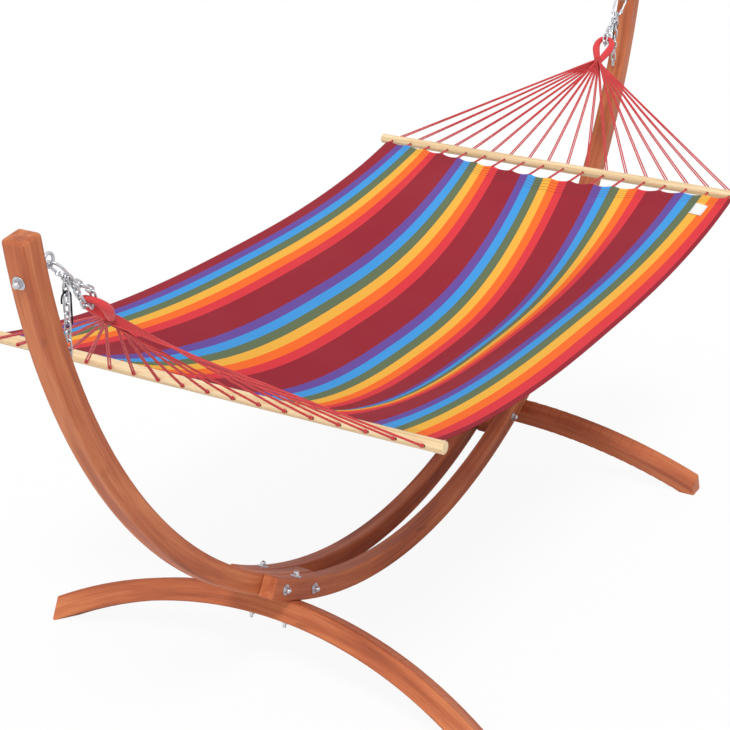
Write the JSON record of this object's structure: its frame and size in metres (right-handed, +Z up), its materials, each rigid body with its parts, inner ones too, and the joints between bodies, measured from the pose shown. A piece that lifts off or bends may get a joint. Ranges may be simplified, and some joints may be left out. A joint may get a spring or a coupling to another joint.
{
  "type": "hammock on stand",
  "caption": "Spreader-bar hammock with striped cloth, hung by fanned cords, rope loops and doubled chains from an arched timber stand on two cross feet.",
  "frame": {"origin": "on the floor under the middle of the stand", "axes": "+Z up, +X along the hammock towards the far arm"},
  "size_m": [3.0752, 1.2, 1.3694],
  "materials": {
    "stained_timber": "red-brown oil stain, satin",
    "pale_timber": "clear varnish, satin",
    "zinc": "bright zinc plating",
    "dark_steel": "blackened wire",
    "rope": "soft twisted rope",
    "striped_cloth": "woven, quilted, many-coloured stripes",
    "tag_cloth": "plain woven tape"
  },
  "bodies": {
    "stand": {"near_arm": "stained_timber", "far_arm": "stained_timber", "front_rail": "stained_timber", "rear_rail": "stained_timber", "near_foot": "stained_timber", "far_foot": "stained_timber", "arm_bolts": "zinc", "arm_bolt_washers": "zinc", "arm_bolt_nuts": "zinc", "foot_bolts": "zinc", "foot_bolt_washers": "zinc", "foot_bolt_nuts": "zinc", "near_eye_bolt": "zinc", "far_eye_bolt": "zinc", "eye_bolt_washers": "zinc", "eye_bolt_nuts": "zinc"},
    "hammock": {"near_snap_hook": "zinc", "far_snap_hook": "zinc", "near_gate_pin": "zinc", "far_gate_pin": "zinc", "near_chain": "zinc", "far_chain": "zinc", "near_rope_loop": "rope", "far_rope_loop": "rope", "near_loop_whipping": "rope", "far_loop_whipping": "rope", "near_suspension_cords": "rope", "far_suspension_cords": "rope", "near_cord_ends": "rope", "far_cord_ends": "rope", "near_spreader_bar": "pale_timber", "far_spreader_bar": "pale_timber", "near_bed_cords": "rope", "far_bed_cords": "rope", "bed_cloth": "striped_cloth", "label_tag": "tag_cloth"},
    "near_gate": {"near_snap_gate": "zinc"},
    "far_gate": {"far_snap_gate": "zinc"},
    "near_tail": {"near_chain_tail": "zinc", "near_tail_hook": "dark_steel"},
    "far_tail": {"far_chain_tail": "zinc", "far_tail_hook": "dark_steel"}
  },
  "joints": [
    {"name": "hammock_swing", "type": "hinge", "parent": "stand", "child": "hammock", "pos_m": [0, 0, 1.28046], "axis": [1, 0, 0], "range_deg": [-20, 20]},
    {"name": "near_gate_hinge", "type": "hinge", "parent": "hammock", "child": "near_gate", "pos_m": [-1.39503, 0.01443, 1.25587], "axis": [0.7071, 0, 0.7071], "range_deg": [0, 26], "stiffness_Nm_per_rad": 0.05, "springref_deg": -17.19},
    {"name": "far_gate_hinge", "type": "hinge", "parent": "hammock", "child": "far_gate", "pos_m": [1.39503, -0.01443, 1.25587], "axis": [-0.7071, 0, 0.7071], "range_deg": [0, 26], "stiffness_Nm_per_rad": 0.05, "springref_deg": -17.19},
    {"name": "near_tail_swing", "type": "hinge", "parent": "hammock", "child": "near_tail", "pos_m": [-1.39157, 0, 1.22929], "axis": [1, 0, 0], "range_deg": [-20, 20]},
    {"name": "far_tail_swing", "type": "hinge", "parent": "hammock", "child": "far_tail", "pos_m": [1.39157, 0, 1.22929], "axis": [1, 0, 0], "range_deg": [-20, 20]}
  ]
}
